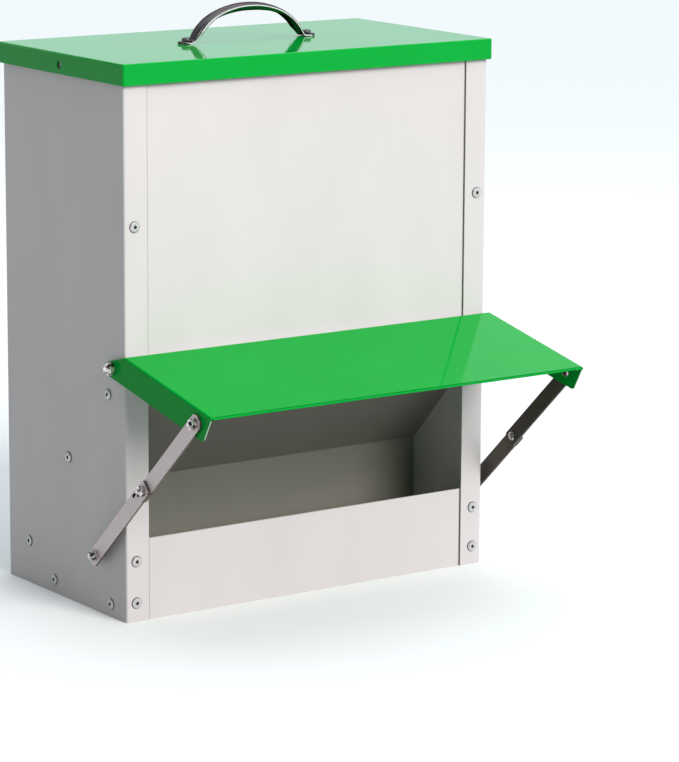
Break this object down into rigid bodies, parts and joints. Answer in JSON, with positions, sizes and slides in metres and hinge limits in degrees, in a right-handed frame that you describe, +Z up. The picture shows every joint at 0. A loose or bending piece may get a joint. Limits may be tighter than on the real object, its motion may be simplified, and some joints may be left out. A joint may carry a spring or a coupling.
{
  "type": "poultry feeder",
  "caption": "Upright riveted sheet-metal gravity feeder with a lift-off lid and bow handle, and a rain hood that folds down over the trough on side stays.",
  "frame": {"origin": "middle of the housing's underside, on the ground", "axes": "+X right, the trough and the hood face -Y, +Z up"},
  "size_m": [0.3228, 0.2751, 0.4075],
  "materials": {
    "housing_sheet": "satin light grey",
    "green_enamel": "gloss green",
    "chrome": "polished",
    "rivets": "satin",
    "stays": "nickel plated, satin",
    "fasteners": "zinc plated"
  },
  "bodies": {
    "housing": {"left_side_panel": "housing_sheet", "right_side_panel": "housing_sheet", "back_panel": "housing_sheet", "front_panel": "housing_sheet", "trough_front": "housing_sheet", "floor_panel": "housing_sheet", "hopper_baffle": "housing_sheet", "rear_ramp": "housing_sheet", "left_front_rivet_1": "rivets", "left_front_rivet_2": "rivets", "left_front_rivet_3": "rivets", "left_rear_rivet_1": "rivets", "left_rear_rivet_2": "rivets", "left_rear_rivet_3": "rivets", "left_side_rivet_1": "rivets", "left_side_rivet_2": "rivets", "left_side_rivet_3": "rivets", "left_side_rivet_4": "rivets", "left_side_rivet_5": "rivets", "right_front_rivet_1": "rivets", "right_front_rivet_2": "rivets", "right_front_rivet_3": "rivets", "right_rear_rivet_1": "rivets", "right_rear_rivet_2": "rivets", "right_rear_rivet_3": "rivets", "right_side_rivet_1": "rivets", "right_side_rivet_2": "rivets", "right_side_rivet_3": "rivets", "right_side_rivet_4": "rivets", "right_side_rivet_5": "rivets", "left_hood_bolt": "fasteners", "left_hood_washer": "fasteners", "left_hood_nut": "fasteners", "left_wall_bolt": "fasteners", "left_wall_nut": "fasteners", "right_hood_bolt": "fasteners", "right_hood_washer": "fasteners", "right_hood_nut": "fasteners", "right_wall_bolt": "fasteners", "right_wall_nut": "fasteners"},
    "lid": {"lid_cover": "green_enamel", "lid_handle": "chrome", "left_handle_screw": "chrome", "left_handle_nut": "fasteners", "right_handle_screw": "chrome", "right_handle_nut": "fasteners"},
    "hood": {"rain_hood": "green_enamel", "left_ear_screw": "fasteners", "right_ear_screw": "fasteners"},
    "left_lower_stay": {"left_lower_stay": "stays", "left_elbow_bolt": "fasteners", "left_elbow_nut": "fasteners"},
    "left_upper_stay": {"left_upper_stay": "stays", "left_ear_nut": "fasteners"},
    "right_lower_stay": {"right_lower_stay": "stays", "right_elbow_bolt": "fasteners", "right_elbow_nut": "fasteners"},
    "right_upper_stay": {"right_upper_stay": "stays", "right_ear_nut": "fasteners"}
  },
  "joints": [
    {"name": "lid_lift", "type": "slide", "parent": "housing", "child": "lid", "axis": [0, 0, 1], "range_m": [0, 0.12]},
    {"name": "hood_fold", "type": "hinge", "parent": "housing", "child": "hood", "pos_m": [0, -0.0685, 0.175], "axis": [1, 0, 0], "range_deg": [0, 77]},
    {"name": "left_stay_fold", "type": "hinge", "parent": "housing", "child": "left_lower_stay", "pos_m": [-0.156, -0.0497, 0.0422], "axis": [1, 0, 0], "range_deg": [-81.7, 0]},
    {"name": "left_elbow_fold", "type": "hinge", "parent": "left_lower_stay", "child": "left_upper_stay", "pos_m": [-0.156, -0.11171, 0.09945], "axis": [1, 0, 0], "range_deg": [0, 155.5]},
    {"name": "right_stay_fold", "type": "hinge", "parent": "housing", "child": "right_lower_stay", "pos_m": [0.156, -0.0497, 0.0422], "axis": [1, 0, 0], "range_deg": [-81.7, 0]},
    {"name": "right_elbow_fold", "type": "hinge", "parent": "right_lower_stay", "child": "right_upper_stay", "pos_m": [0.156, -0.11171, 0.09945], "axis": [1, 0, 0], "range_deg": [0, 155.5]}
  ],
  "couplings": [
    {"joint": "left_stay_fold", "follows": "hood_fold", "ratio": -1.061},
    {"joint": "left_elbow_fold", "follows": "hood_fold", "ratio": 2.0182},
    {"joint": "right_stay_fold", "follows": "hood_fold", "ratio": -1.061},
    {"joint": "right_elbow_fold", "follows": "hood_fold", "ratio": 2.0182}
  ]
}
